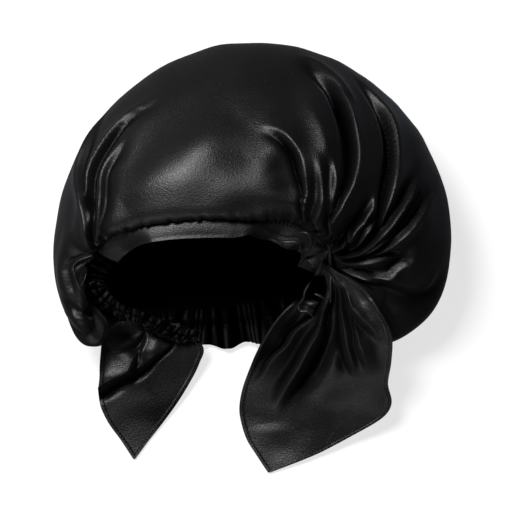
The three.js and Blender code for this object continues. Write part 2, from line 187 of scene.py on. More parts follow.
def table_value(rows, key, at, column, around=False):
    """The smooth value of one column between its rows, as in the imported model."""
    places, values = rows[key], rows[column]
    if around:
        at = wrapped(at, places[0])
        places = np.concatenate([places[-2:] - FULL_TURN, places, places[:3] + FULL_TURN])
        values = np.concatenate([values[-2:], values, values[:3]])
    else:
        places = np.concatenate([places[:1], places, places[-1:]])
        values = np.concatenate([values[:1], values, values[-1:]])
    i = np.clip(np.searchsorted(places, at, side="right") - 1, 1, len(places) - 3)
    step = places[i + 1] - places[i]
    a, b = values[i], values[i + 1]
    slope_a = step * (b - values[i - 1]) / (places[i + 1] - places[i - 1])
    slope_b = step * (values[i + 2] - a) / (places[i + 2] - places[i])
    s = (at - places[i]) / step
    bend = s * (2 * (a - b) + slope_a + slope_b) + 3 * (b - a) - 2 * slope_a - slope_b
    return a + s * (slope_a + s * bend)


def pressed(z):
    """Presses whatever is lower than the surface flat onto it."""
    blend = (np.clip(z, -REST_BLEND, REST_BLEND) + REST_BLEND) ** 2 / (4 * REST_BLEND)
    return np.where(z >= REST_BLEND, z, blend)


def fold_height(folds, at, way, spacing, tallest, around=False):
    height = np.zeros(np.broadcast(at, way).shape)
    columns = (folds[name] for name in ("at", "width", "depth", "start", "end"))
    for place, width, depth, start, end in zip(*columns):
        off = wrapped(at - place, -FULL_TURN / 2) if around else at - place
        across = bump(off, 0, width)
        rise = tallest * abs(depth) * smoothstep(way, start, mix(start, end, FOLD_FULL_FROM))
        rise = rise * (1 - smoothstep(way, mix(start, end, FOLD_FULL_TO), end))
        height += np.sign(depth) * across * rise / (1 + rise / (FOLD_STEEPNESS * width * spacing))
    return height


FORWARD = unit(np.array([0.0, -OPENING_HEIGHT, OPENING_REACH]))


def seam_value(spin, column):
    return table_value(SEAM, "spin", spin, column, True)


def seam_point(spin):
    across, rise, reach = (seam_value(spin, column) for column in ("across", "rise", "reach"))
    return stacked(
        OPENING_MIDDLE[0] + across * OPENING_WIDTH / 2,
        OPENING_MIDDLE[1] + reach * OPENING_REACH,
        rise * OPENING_HEIGHT,
    )


def strip_point(spin, share, lift=0.0):
    """A place on the strip beyond the seam: share is 0 at the seam and 1 at its free edge."""
    seam = seam_point(spin)
    inward = OPENING_MIDDLE - seam
    inward = unit(inward - (inward @ FORWARD)[..., None] * FORWARD)
    lean = np.radians(seam_value(spin, "lean"))[..., None]
    down = inward * np.cos(lean) + FORWARD * np.sin(lean)
    out = FORWARD * np.cos(lean) - inward * np.sin(lean)
    reach = SEAM_GAP + share * seam_value(spin, "width") * BAND_WIDTH
    return seam + down * np.asarray(reach)[..., None] + out * np.asarray(lift)[..., None]


GATHER_STEPS = 720
gather_turns = (np.arange(GATHER_STEPS) + 0.5) * FULL_TURN / GATHER_STEPS
gather_give = np.ones(GATHER_STEPS)
for cinch in (RIGHT_CINCH, LEFT_CINCH):
    away = wrapped(gather_turns - cinch["turn"], -FULL_TURN / 2)
    gather_give *= 1 - cinch["hold"] * bump(away, 0, cinch["spread"], 4)
gather_sum = np.concatenate([[0], np.cumsum(gather_give)])


def gathered(turn):
    whole = np.floor(turn / FULL_TURN)
    place = (turn - whole * FULL_TURN) * GATHER_STEPS / FULL_TURN
    return whole * gather_sum[-1] + np.interp(place, np.arange(GATHER_STEPS + 1), gather_sum)


def spin_of(turn):
    here = wrapped(turn, RIGHT_CINCH["turn"])
    above = here <= LEFT_CINCH["turn"]
    right, left = gathered(RIGHT_CINCH["turn"]), gathered(LEFT_CINCH["turn"])
    after = gathered(RIGHT_CINCH["turn"] + FULL_TURN)
    over = (gathered(here) - right) / (left - right)
    under = (gathered(here) - left) / (after - left)
    return np.where(
        above,
        mix(RIGHT_CINCH["spin"], LEFT_CINCH["spin"], over),
        mix(LEFT_CINCH["spin"], RIGHT_CINCH["spin"] + FULL_TURN, under),
    )


def ball_reach(y, z):
    reach = np.where(y > 0, CROWN_BACK_REACH, CROWN_FRONT_REACH)
    return reach, np.where(z > 0, CROWN_HEIGHT - GIRTH_HEIGHT, UNDERSIDE_DROP)


def ball_point(direction):
    x, y, z = np.moveaxis(direction, -1, 0)
    fullness = np.where(y > 0, BACK_FULLNESS, FRONT_FULLNESS)
    r = (np.hypot(x, z) ** fullness + np.abs(y) ** fullness) ** (-1 / fullness)
    reach, rise = ball_reach(y, z)
    return stacked(x * r * CROWN_WIDTH / 2, CROWN_MIDDLE_Y + y * r * reach, GIRTH_HEIGHT + z * r * rise)


def ball_direction(p):
    x, y, z = p[..., 0] / (CROWN_WIDTH / 2), p[..., 1] - CROWN_MIDDLE_Y, p[..., 2] - GIRTH_HEIGHT
    reach, rise = ball_reach(y, z)
    return unit(stacked(x, y / reach, z / rise))


def crown_form(turn, way):
    """The crown without folds. way runs from 0 at the seam to 1 at the back."""
    turn, way = np.broadcast_arrays(turn, way)
    lean, aside, swell = (table_value(LOBES, "turn", turn, k, True) for k in ("lean", "aside", "swell"))
    seam = seam_point(spin_of(turn))
    angle = np.radians(turn)
    girth = stacked(np.cos(angle) + aside, 0 * angle, np.sin(angle))
    direction = ball_direction(seam) * ((1 - way) ** 2)[..., None]
    direction = direction + girth * (GIRTH_PULL * way * (1 - way))[..., None]
    direction[..., 1] += way**2 - LEAN_PULL * lean * way * (1 - way) ** 2
    full = 1 - (1 - np.clip(way / swell, 0, 1)) ** 2
    return mix(seam, ball_point(unit(direction)), full[..., None])


def crown_frame(turn, way):
    """The crown without folds, its outward normal, and the millimetres in one degree of turn."""
    inner = np.minimum(way, POLE_WAY)
    across = crown_form(turn + TURN_STEP, inner) - crown_form(turn - TURN_STEP, inner)
    along = crown_form(turn, inner + WAY_STEP) - crown_form(turn, np.maximum(inner - WAY_STEP, 0))
    return crown_form(turn, way), unit(np.cross(along, across)), np.linalg.norm(across, axis=-1)


RIGHT_TIE_FOLDS = table(
    "at width depth start end",
    (-0.95, 0.14, 0.4, 0, 0.6), (-0.55, 0.16, 0.9, 0, 0.75), (-0.15, 0.14, 0.8, 0, 0.65),
    (0.2, 0.13, 1, 0, 0.6), (0.55, 0.14, 0.8, 0, 0.5), (0.9, 0.14, 0.9, 0, 0.5),
)


def drape_height(p, slope, props):
    """The height at which cloth lies over some points, running down at one slope."""
    lift = CLOTH + REST_CLEARANCE
    steep = np.hypot(1, slope)
    flat, slopes, steeps = p.reshape(-1, 3), slope.ravel(), steep.ravel()
    low, high = flat[:, :2].min(axis=0) - DRAPE_REACH, flat[:, :2].max(axis=0) + DRAPE_REACH
    close = props[((props[:, :2] > low) & (props[:, :2] < high)).all(axis=1)]
    height = np.zeros(len(flat))
    for part in np.array_split(np.arange(len(flat)), DRAPE_PARTS):
        away = np.hypot(*(close[None, :, axis] - flat[part, None, axis] for axis in (0, 1)))
        near = away * steeps[part, None] < lift * slopes[part, None]
        dome = np.sqrt(np.maximum(lift**2 - away**2, 0))
        over = np.where(near, dome, lift * steeps[part, None] - slopes[part, None] * away)
        height[part] = (close[None, :, 2] + over).max(axis=1)
    return np.maximum(height, CLOTH).reshape(p.shape[:-1])


def blurred(height, passes):
    for _ in range(passes):
        padded = np.pad(height, 1, mode="reflect", reflect_type="odd")
        height = (padded[2:, 1:-1] + padded[:-2, 1:-1] + padded[1:-1, 2:] + padded[1:-1, :-2]) / 4
    return height


def relaxed(height):
    """A height field pulled smooth over what holds it up."""
    smooth = np.maximum(blurred(height, RELAX_PASSES), height - DRAPE_GIVE)
    return blurred(smooth, RELAX_PASSES // 2)


def tie_form(stations, root_place, size, at, along, props):
    """A tie without folds, running from the cinch down to the floor."""
    width, length = size
    left, right, rise_left, rise_right = (
        table_value(stations, "along", along, name) for name in ("left", "right", "rise_left", "rise_right")
    )
    root = strip_point(np.array(float(root_place[0])), root_place[1])
    side = (at + 1) / 2
    p = stacked(
        root[0] + mix(left, right, side) * width,
        root[1] - TIE_ROOT_STEP - along * length,
        mix(rise_left, rise_right, side) * (root[2] + TIE_ROOT_LIFT),
    )
    slope = mix(ROOT_DRAPE_SLOPE, DRAPE_SLOPE, smoothstep(along, 0, ROOT_DRAPE_REACH))
    p[..., 2] = relaxed(np.maximum(p[..., 2], drape_height(p, slope, props)))
    return p, (right - left) * width / 2


# Meshes

SHARP_FROM = math.radians(75)
SATIN_THICKNESS = 0.8
UNDERSIDE_GAP = 0.05
CREST = 0.3
LINE_STEPS = 70
VALLEY_REACH = 1.6
VALLEY_WIDTH = 0.6
VALLEY_RUN_OUT = 1.2
FULL_SHADE = 5
CINCH_NARROWING = 0.35

# How many widths away a fold is felt, and the shares of its length over which it rises and fades
CREASE_REACH = 6
CREASE_RISE = (-0.02, 0.08)
CREASE_FADE = (0.65, 1.0)
SWELL_REACH = 2.5
SWELL_RISE = (-0.1, 0.35)
SWELL_FADE = (0.6, 1.05)


def ripples(seed, count, shortest, longest):
    """Numbers for a sum of waves: heading, slant, wavelength in millimetres and phase."""
    draw = np.random.default_rng(seed)
    limits = ((0, 2 * np.pi), (-0.5, 0.5), (shortest, longest), (0, 2 * np.pi))
    return np.stack([draw.uniform(low, high, count) for low, high in limits], -1)


def rippled(p, waves):
    """A smooth uneven number between about -1 and 1 at each point."""
    total = np.zeros(p.shape[:-1])
    for heading, slant, length, phase in waves:
        run = p @ np.array([math.cos(heading), math.sin(heading), slant])
        total += np.sin(2 * np.pi * run / length + phase)
    return total / math.sqrt(len(waves))


def grid_normals(points, around):
    if around:
        across = np.roll(points, -1, axis=0) - np.roll(points, 1, axis=0)
    else:
        across = np.gradient(points, axis=0)
    return unit(np.cross(np.gradient(points, axis=1), across))


def in_scene(name, data):
    thing = bpy.data.objects.new(name, data)
    bpy.context.scene.collection.objects.link(thing)
    return thing


def mesh_piece(name, vertices, faces, materials, replaces=None, slot=None, inner_faces=None):
    mesh = bpy.data.meshes.new(name)
    mesh.from_pydata((np.asarray(vertices) * MM).tolist(), [], faces)
    for material in materials:
        mesh.materials.append(material)
    if inner_faces is not None and len(materials) > 1:
        mesh.polygons.foreach_set("material_index", inner_faces.astype(int))
    mesh.shade_smooth()
    mesh.set_sharp_from_angle(angle=SHARP_FROM)
    piece = in_scene(name, mesh)
    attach(piece, "root")
    if replaces:
        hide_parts(replaces)
    return piece


def cloth_piece(name, points, materials, thickness=SATIN_THICKNESS, around=False, replaces=None, slot=None,
                shade=None):
    """A closed wall of cloth from a grid of points in millimetres on its outer side."""
    columns, rows = points.shape[:2]
    inner = points - grid_normals(points, around) * thickness
    inner[..., 2] = np.maximum(inner[..., 2], UNDERSIDE_GAP)
    vertices = np.concatenate([points.reshape(-1, 3), inner.reshape(-1, 3)])
    i = np.arange(columns if around else columns - 1)
    after = (i + 1) % columns
    j = np.arange(rows - 1)
    all_i, all_j = np.meshgrid(i, j, indexing="ij")
    all_after = after[all_i]
    total = columns * rows

    def vertex(side, column, row):
        return side * total + column * rows + row

    corners = ((all_i, all_j), (all_i, all_j + 1), (all_after, all_j + 1), (all_after, all_j))
    outer = np.stack([vertex(0, *corner) for corner in corners], -1).reshape(-1, 4)
    faces = [outer, outer[:, ::-1] + total]
    rims = [((i, row), (after, row), flip) for row, flip in ((0, False), (rows - 1, True))]
    if not around:
        rims += [((column, j), (column, j + 1), flip) for column, flip in ((0, True), (columns - 1, False))]
    for here, there, flip in rims:
        rim = np.stack([vertex(0, *here), vertex(0, *there), vertex(1, *there), vertex(1, *here)], -1)
        faces.append(rim[:, ::-1] if flip else rim)
    faces = np.concatenate(faces)
    inner_faces = (np.arange(len(faces)) >= len(outer)) & (np.arange(len(faces)) < 2 * len(outer))
    piece = mesh_piece(name, vertices, faces.tolist(), materials, replaces, slot, inner_faces)
    # The painted shade in folds and hollows, kept on each vertex as fold_shade
    depth = np.zeros(total) if shade is None else shade.reshape(-1)
    piece.data.attributes.new("fold_shade", "FLOAT", "POINT").data.foreach_set("value", np.tile(depth, 2))
    return piece


def smooth_line(points, count):
    """Points on one smooth curve through a few points."""
    points = np.asarray(points, float)
    places = {"at": np.arange(len(points), dtype=float)}
    at = np.linspace(0, len(points) - 1, count)
    return np.stack([table_value({**places, "v": column}, "at", at, "v") for column in points.T], -1)


def beside(points, line, normals, reach):
    """How far points near a line on the cloth are to its left, and their share of the way along it."""
    tangents = unit(np.gradient(line, axis=0))
    lefts = unit(np.cross(normals, tangents))
    flat = points.reshape(-1, 3)
    boxed = (flat > line.min(axis=0) - reach) & (flat < line.max(axis=0) + reach)
    close = np.flatnonzero(boxed.all(axis=1))
    nearest = np.zeros(len(close), int)
    for part in np.array_split(np.arange(len(close)), LINE_PARTS):
        gaps = flat[close[part], None] - line[None]
        nearest[part] = (gaps**2).sum(axis=-1).argmin(axis=1)
    away = flat[close] - line[nearest]
    ahead = (away * tangents[nearest]).sum(axis=-1)
    inside = (nearest > 0) & (nearest < len(line) - 1)
    across = np.sqrt(np.maximum((away**2).sum(axis=-1) - np.where(inside, ahead**2, 0), 0))
    across = across * np.sign((away * lefts[nearest]).sum(axis=-1))
    step = np.linalg.norm(np.diff(line, axis=0), axis=-1).mean()
    return close, across, (nearest + np.clip(ahead / step, -0.5, 0.5)) / (len(line) - 1)


def crease_height(points, creases, place):
    """How far sharp folds lift each point, and how deep it lies in the shade beside them."""
    height = np.zeros(points.shape[:-1]).reshape(-1)
    shade = np.zeros_like(height)
    for tall, left, right, valley, route in creases.values():
        line, normals = place(*smooth_line(route, LINE_STEPS).T)
        close, off, share = beside(points, line, normals, CREASE_REACH * max(left, right))
        narrow = mix(CINCH_NARROWING, 1, smoothstep(share, 0, 0.5))
        x = off / (np.where(off > 0, left, right) * narrow)
        ends = between(share, CREASE_RISE, CREASE_FADE)
        gap = VALLEY_REACH * (left if valley > 0 else right) * narrow * np.sign(valley)
        wide = np.where((off - gap) * valley > 0, VALLEY_RUN_OUT, VALLEY_WIDTH) * gap
        deep = bump(off, gap, wide) * ends if valley else 0 * off
        crest = np.exp(CREST - np.sqrt(x**2 + CREST**2))
        height[close] += tall * narrow * ends * crest - abs(valley) * narrow * deep
        shade[close] = np.maximum(shade[close], deep * min(1, abs(valley) / FULL_SHADE))
    return height.reshape(points.shape[:-1]), shade.reshape(points.shape[:-1])


def swell_height(points, swells, place):
    """How far broad soft swellings lift each point."""
    height = np.zeros(points.shape[:-1]).reshape(-1)
    for tall, width, route in swells.values():
        line, normals = place(*smooth_line(route, LINE_STEPS).T)
        close, off, share = beside(points, line, normals, SWELL_REACH * width)
        height[close] += tall * between(share, SWELL_RISE, SWELL_FADE) * bump(off, 0, width)
    return height.reshape(points.shape[:-1])


# Materials

# Places of the colour sockets among those of a Mix node
COLOUR_A = 6
COLOUR_B = 7
MIXED_COLOUR = 2
LINT_COLOUR = (0.016, 0.016, 0.018, 1)
# Black painted into the folds as their shade
PAINTED_SHADE_BLACK = (0, 0, 0, 1)


def set_inputs(tree, node, inputs):
    """Sets a node's inputs, or links them to sockets."""
    for name, value in inputs.items():
        if isinstance(value, bpy.types.NodeSocket):
            tree.links.new(value, node.inputs[name])
        else:
            node.inputs[name].default_value = value


def add_node(tree, kind, inputs=None, **settings):
    node = tree.nodes.new(kind)
    for name, value in settings.items():
        setattr(node, name, value)
    set_inputs(tree, node, inputs or {})
    return node


def new_group(name, outputs):
    group = bpy.data.node_groups.new(name, "ShaderNodeTree")
    for label, kind in outputs:
        group.interface.new_socket(label, in_out="OUTPUT", socket_type=kind)
    return group, add_node(group, "NodeGroupOutput")


def stretched_noise(tree, stretch, detail):
    """Noise whose spots are as many to the metre along X, Y and Z as stretch says."""
    place = add_node(tree, "ShaderNodeTexCoord").outputs["Object"]
    spaced = add_node(tree, "ShaderNodeMapping", {"Vector": place, "Scale": stretch}).outputs[0]
    inputs = {"Vector": spaced, "Scale": 1.0, "Detail": detail}
    return add_node(tree, "ShaderNodeTexNoise", inputs).outputs[0]


def raised(tree, height, strength, distance, normal=None):
    inputs = {"Height": height, "Strength": strength, "Distance": distance}
    if normal is not None:
        inputs["Normal"] = normal
    return add_node(tree, "ShaderNodeBump", inputs).outputs[0]


def ranged(tree, value, low, high, at_low, at_high, **settings):
    inputs = {"Value": value, "From Min": low, "From Max": high, "To Min": at_low, "To Max": at_high}
    return add_node(tree, "ShaderNodeMapRange", inputs, **settings).outputs[0]


def product(tree, a, b):
    return add_node(tree, "ShaderNodeMath", {0: a, 1: b}, operation="MULTIPLY").outputs[0]


def mixed_colour(tree, factor, first, second):
    inputs = {"Factor": factor, COLOUR_A: first, COLOUR_B: second}
    return add_node(tree, "ShaderNodeMix", inputs, data_type="RGBA").outputs[MIXED_COLOUR]


woven_threads, leave = new_group(
    "woven_threads", [("Threads", "NodeSocketFloat"), ("Normal", "NodeSocketVector")])
weft = stretched_noise(woven_threads, (450, 1100, 1100), 2.0)
warp = stretched_noise(woven_threads, (1300, 900, 900), 1.0)
threads = ranged(woven_threads, product(woven_threads, weft, warp), 0.12, 0.42, 0.0, 1.0)
crumpled = raised(woven_threads, stretched_noise(woven_threads, (45, 150, 150), 1.0), 0.05, 0.0007)
thread_normal = raised(woven_threads, threads, 0.5, 0.0002, crumpled)
set_inputs(woven_threads, leave, {"Threads": threads, "Normal": thread_normal})

handled_cloth, leave = new_group(
    "handled_cloth", [("Shade", "NodeSocketFloat"), ("Lint", "NodeSocketFloat")])
shade = ranged(handled_cloth, stretched_noise(handled_cloth, (24, 24, 24), 3.0), 0.3, 0.7, 0.0, 1.0)
lint = ranged(handled_cloth, stretched_noise(handled_cloth, (500, 900, 900), 0.0), 0.8, 0.84, 0.0, 1.0)
set_inputs(handled_cloth, leave, {"Shade": shade, "Lint": lint})


def new_material(name):
    material = bpy.data.materials.new(name)
    material.use_nodes = True
    return material, material.node_tree, material.node_tree.nodes["Principled BSDF"]


def satin(name, colour, faded, roughness, shine):
    """Black satin with its weave, soft crumples, uneven dye and specks of lint, with painted shade in its
    folds.
    """
    material, tree, shader = new_material(name)
    weave = add_node(tree, "ShaderNodeGroup", node_tree=woven_threads)
    handled = add_node(tree, "ShaderNodeGroup", node_tree=handled_cloth)
    # depth is the painted shade in the folds: it blackens the colour and takes the shine away
    depth = add_node(tree, "ShaderNodeAttribute", attribute_name="fold_shade").outputs["Fac"]
    dyed = mixed_colour(tree, handled.outputs["Shade"], (*colour, 1), (*faded, 1))
    linty = mixed_colour(tree, handled.outputs["Lint"], dyed, LINT_COLOUR)
    set_inputs(tree, shader, {
        "Base Color": mixed_colour(tree, depth, linty, PAINTED_SHADE_BLACK),
        "Specular IOR Level": ranged(tree, depth, 0.0, 1.0, shine, 0.0),
        "Roughness": ranged(tree, weave.outputs["Threads"], 0.0, 1.0, roughness + 0.1, roughness - 0.08),
        "Normal": weave.outputs["Normal"],
        "Anisotropic": 0.3,
        "Sheen Weight": 0.04,
        "Sheen Roughness": 0.35,
        "Sheen Tint": (0.75, 0.8, 1, 1),
    })
    return material


def plain(name, colour, roughness, shine, glow=0.0):
    material, tree, shader = new_material(name)
    set_inputs(tree, shader, {"Base Color": (*colour, 1), "Roughness": roughness,
                              "Specular IOR Level": shine, "Emission Strength": glow})
    return material


DYES = ((0.0028, 0.0028, 0.0032), (0.005, 0.005, 0.0056))
crown_satin = satin("black_satin", *DYES, 0.4, 0.33)
band_satin = satin("band_satin", (0.003, 0.003, 0.0036), (0.005, 0.005, 0.006), 0.42, 0.36)
tie_satin = satin("tie_satin", *DYES, 0.4, 0.28)
# The wrong side of the satin, dull, and painted almost black as shade inside the crown
wrong_side_shade_satin = plain("satin_wrong_side_painted_shade", (0.001, 0.001, 0.0012), 0.9, 0.02)
# Darker and duller than the other satins, partly as the dull reverse of the satin and partly as painted
# shade
casing_satin = satin("casing_satin", (0.002, 0.002, 0.0024), (0.0035, 0.0035, 0.004), 0.5, 0.14)
thread = plain("sewing_thread", (0.001, 0.001, 0.0012), 0.8, 0.1)

# Crown

CROWN_COLUMNS = 540
CROWN_ROWS = 90
CROWN_END = 0.9995
CROWN_CROWDING = 1.25
MAIN_FOLD_SHARE = 0.35
CROWN_RIPPLE_RISE = 0.35
PUCKER_RISE = 0.5
PUCKER_REACH = 0.09
PUCKER_SHADE = (0.9, 2.6)

# Where the crown's columns crowd together: the middle in degrees of turn, the spread, and how many more
FINE_PLACES = ((42, 52, 1.7), (145, 25, 0.9))

# Sharp folds: how far each stands out, how wide its left and right flanks are, how deep the cloth falls
# beside it, on its left where that is over 0, which also sets how dark the painted shade there is, and
# its places of turn and way from near the seam.
CROWN_CREASES = {
    "arc": (5, 2, 8, 5, [(79, 0.05), (81, 0.175), (80, 0.28), (80, 0.37), (80.5, 0.455), (83, 0.51),
        (86.5, 0.54), (90.5, 0.545)]),
    "arc_flank": (4.8, 9, 8, 0, [(71, 0.04), (75, 0.17), (74, 0.315), (73, 0.415), (72.5, 0.505),
        (72.5, 0.58), (74, 0.63), (77, 0.655)]),
    "arc_foot": (2.5, 3, 3, 3, [(73, 0.04), (77, 0.14), (76, 0.275), (75.5, 0.385), (75.5, 0.48)]),
    "flank_foot": (2.5, 3, 4, 3, [(68, 0.04), (73, 0.18), (72, 0.33), (71, 0.44), (71, 0.52)]),
    "long": (7, 3, 12, 9, [(62, 0.03), (72.5, 0.15), (70.5, 0.3), (66.5, 0.41), (62.5, 0.515),
        (60.5, 0.595), (59, 0.66), (59, 0.71), (62.5, 0.745), (68, 0.77)]),
    "long_beside": (3, 2, 2, 2, [(67, 0.43), (63.5, 0.54), (61, 0.62), (60.5, 0.675), (63, 0.71)]),
    "long_tip": (3, 5, 6, 2, [(56, 0.66), (56.5, 0.72), (58.5, 0.775), (66, 0.815)]),
    "second": (6, 2.5, 10, 8, [(48, 0.03), (54, 0.2), (53.5, 0.335), (52.5, 0.405), (49.5, 0.485),
        (44, 0.57), (40, 0.635), (37.5, 0.685), (39, 0.72), (34.5, 0.775)]),
    "third": (6, 2.6, 6, 6, [(43, 0.02), (50.5, 0.115), (52, 0.26), (48, 0.37), (42, 0.46), (34, 0.535),
        (23.5, 0.595)]),
    "third_beside": (4, 2.4, 5, 3, [(38, 0.03), (46, 0.125), (47.5, 0.26), (43.5, 0.37), (37.5, 0.455),
        (29.5, 0.525), (17, 0.595)]),
    "fourth": (5, 2.6, 9, 6, [(32, 0.02), (39, 0.12), (42, 0.265), (40, 0.36), (34.5, 0.445), (25.5, 0.52),
        (3, 0.615)]),
    "short_high": (4, 2.2, 4, 5, [(52, 0.015), (59, 0.055), (64, 0.185), (61.5, 0.3), (58.5, 0.375),
        (57, 0.43)]),
    "short_middle": (4, 2.2, 4, 4, [(46, 0.015), (51, 0.065), (59, 0.205), (56, 0.315), (53.5, 0.375)]),
    "short_low": (4, 2.2, 4, 3, [(54, 0.015), (61.5, 0.065), (65.5, 0.17), (63.5, 0.28)]),
    "hook": (3, 3, 6, -3, [(3.5, 0.02), (3, 0.085), (6.5, 0.135), (8.5, 0.19), (3.5, 0.235), (-1, 0.285),
        (-1.5, 0.34), (3.5, 0.375), (12, 0.38)]),
    "hook_branch": (3, 3, 5, 3, [(8, 0.05), (8.5, 0.19), (16, 0.245), (17.5, 0.32)]),
    "cinch_level": (3, 2.2, 4, 4, [(24, 0.02), (34, 0.1), (33, 0.2), (28, 0.3)]),
    "cinch_low": (3, 2.2, 4, 3, [(-1.5, 0.02), (5.5, 0.1), (-5.5, 0.18)]),
    "cinch_high": (3, 2.2, 4, 4, [(46.5, 0.04), (64.5, 0.19), (59.5, 0.335)]),
    "left_outer": (4.5, 7, 3, -3, [(135, 0.02), (137, 0.095), (137, 0.28), (143, 0.42), (156, 0.56),
        (160, 0.62), (166, 0.68), (167.5, 0.715)]),
    "left_main": (5, 6, 2.5, -4, [(146, 0.01), (141, 0.035), (134.5, 0.26), (139.5, 0.4), (142, 0.495),
        (141, 0.565), (137, 0.63), (127.5, 0.66), (120, 0.68)]),
    "left_inner": (3, 4, 3, -3, [(133, 0.03), (132.5, 0.1), (131, 0.315), (135, 0.47), (132, 0.54),
        (130, 0.58)]),
    "left_level": (1.2, 6, 6, 0, [(214, 0.215), (199, 0.19), (190.5, 0.195), (184, 0.255)]),
    "left_low_valley": (0.8, 2.5, 4, 2.5, [(222, 0.16), (217, 0.19), (199, 0.21), (195.5, 0.215),
        (190, 0.24), (186, 0.27), (180, 0.3)]),
    "left_low_line": (0.7, 3, 2, -3, [(216, 0.225), (210, 0.245), (201, 0.255), (198, 0.27), (194.5, 0.31),
        (193, 0.35)]),
    "left_flap": (1.4, 1.4, 2.4, -2, [(152, 0.02), (171, 0.16), (182.5, 0.145), (193, 0.145),
        (208, 0.175)]),
    "left_flap_inner": (1.2, 1.2, 1.6, 2, [(155, 0.01), (180, 0.06), (197.5, 0.055), (193, 0.14)]),
}

# Broad soft shapes: how far each stands out, how wide it is, and where it runs.
CROWN_SWELLS = {
    "shoulder": (7, 20, [(121, 0.245), (112.5, 0.325), (106, 0.425), (99, 0.5), (93, 0.56)]),
    "arc_hollow": (-6, 13, [(83.5, 0.2), (83, 0.3), (84, 0.4), (87, 0.47)]),
    "long_hollow": (-4, 9, [(69.5, 0.535), (73, 0.395), (75.5, 0.255)]),
    "seam_lift": (4, 9, [(150, 0.03), (125, 0.03), (100, 0.03), (80, 0.03)]),
    "left_dent": (-2, 12, [(202, 0.205), (193, 0.22), (186, 0.27)]),
    "left_low_bulge": (8, 16, [(240, 0.12), (232, 0.2), (222, 0.28), (210, 0.34)]),
    "hook_hollow": (-4, 12, [(45.5, 0.225), (27.5, 0.26), (19, 0.315)]),
}
CROWN_RIPPLES = ripples(4, 9, 22, 60)

# How many puckers go round the whole seam, and where each set starts
SEAM_PUCKERS = ((37, 0.4), (59, 1.9), (83, 4.1))


def crown_place(turn, way):
    line, normals, _ = crown_frame(turn, way)
    return line, normals


def crown_points(turns, ways):
    turn, way = np.meshgrid(turns, ways, indexing="ij")
    p, normal, spacing = crown_frame(turn, way)
    height, shade = crease_height(p, CROWN_CREASES, crown_place)
    height += fold_height(MAIN_FOLDS, turn, way, spacing, CROWN_FOLD_DEPTH, True) * MAIN_FOLD_SHARE
    height += swell_height(p, CROWN_SWELLS, crown_place) * smoothstep(way, 0, 0.03)
    height += CROWN_RIPPLE_RISE * rippled(p, CROWN_RIPPLES) * smoothstep(way, 0, 0.2)
    spin = np.radians(spin_of(turn))
    pucker = sum(np.sin(count * spin + phase) for count, phase in SEAM_PUCKERS)
    puckered = pucker * bump(way, 0, PUCKER_REACH) * smoothstep(way, 0, 0.012)
    height += PUCKER_RISE * puckered
    # Painted shade in the hollows between the puckers
    shade = np.maximum(shade, smoothstep(-puckered, *PUCKER_SHADE))
    p = p + normal * height[..., None]
    p[..., 2] = pressed(p[..., 2])
    return p, shade


even_turns = np.arange(0, FULL_TURN + 1)
fineness = np.ones(len(even_turns))
for middle, spread, more in FINE_PLACES:
    fineness += more * bump(wrapped(even_turns - middle, -FULL_TURN / 2), 0, spread, 4)
fine_sum = np.cumsum(fineness) - fineness[0]
crown_turns = np.interp(np.arange(CROWN_COLUMNS) * fine_sum[-1] / CROWN_COLUMNS, fine_sum, even_turns)
crown_ways = CROWN_END * np.linspace(0, 1, CROWN_ROWS) ** CROWN_CROWDING
crown_grid, crown_shade = crown_points(crown_turns, crown_ways)
crown = cloth_piece("crown_cloth", crown_grid, [crown_satin, wrong_side_shade_satin], around=True,
                    replaces="crown", slot="crown_satin", shade=crown_shade)

# Band and casing

BAND_RUFFLES = 2.5
BAND_RUFFLED_TO = 60
BAND_RUFFLE_DEPTH = 3.5
BAND_ROLL = 1.2
BAND_STAND = 2
BAND_MIDDLE_STAND = 10
BAND_RIM = 0.8
BAND_THICKNESS = 1.6
CASING_THICKNESS = 1.2
CASING_GATHER_RISE = 0.9
CASING_SLOW_RISE = 1.1
CASING_FLOOR_GAP = 1.3
HEADER_REACH = 0.7
HEADER_RISE = 3.5

# How many of each kind of gather go round the whole opening
CASING_GATHERS = {"fine": 91, "fine_shift": 17, "slow": 37, "slow_shift": 8, "slant": 29, "edge": 23}


def strip_grid(span, columns, rows):
    """Spins along a strip, and shares across it from its free edge to the seam."""
    return np.meshgrid(np.linspace(*span, columns), np.linspace(1, 0, rows), indexing="ij")


band_spins, band_shares = strip_grid(BAND_SPAN, 300, 18)
band_wave = np.sin(2 * np.pi * BAND_RUFFLES * band_spins / BAND_RUFFLED_TO)
band_wave *= 1 - smoothstep(band_spins, 0, BAND_RUFFLED_TO)
band_middle = between(band_spins, (40, 80), (130, 165))
band_bulge = BAND_ROLL * np.sin(np.pi * band_shares)
band_bulge += (BAND_STAND + BAND_MIDDLE_STAND * band_middle) * band_shares
band_bulge += BAND_RIM * bump(band_shares, 1, 0.08)
band_notch = (1 - 0.38 * bump(band_spins, 66, 7)) * (1 - 0.55 * band_middle)
band_lift = band_shares * BAND_RUFFLE_DEPTH * band_wave + band_bulge
band_grid = strip_point(band_spins, band_shares * band_notch, band_lift)
band = cloth_piece("front_band_cloth", band_grid, [band_satin], BAND_THICKNESS, replaces="front_band",
                   slot="band_satin")

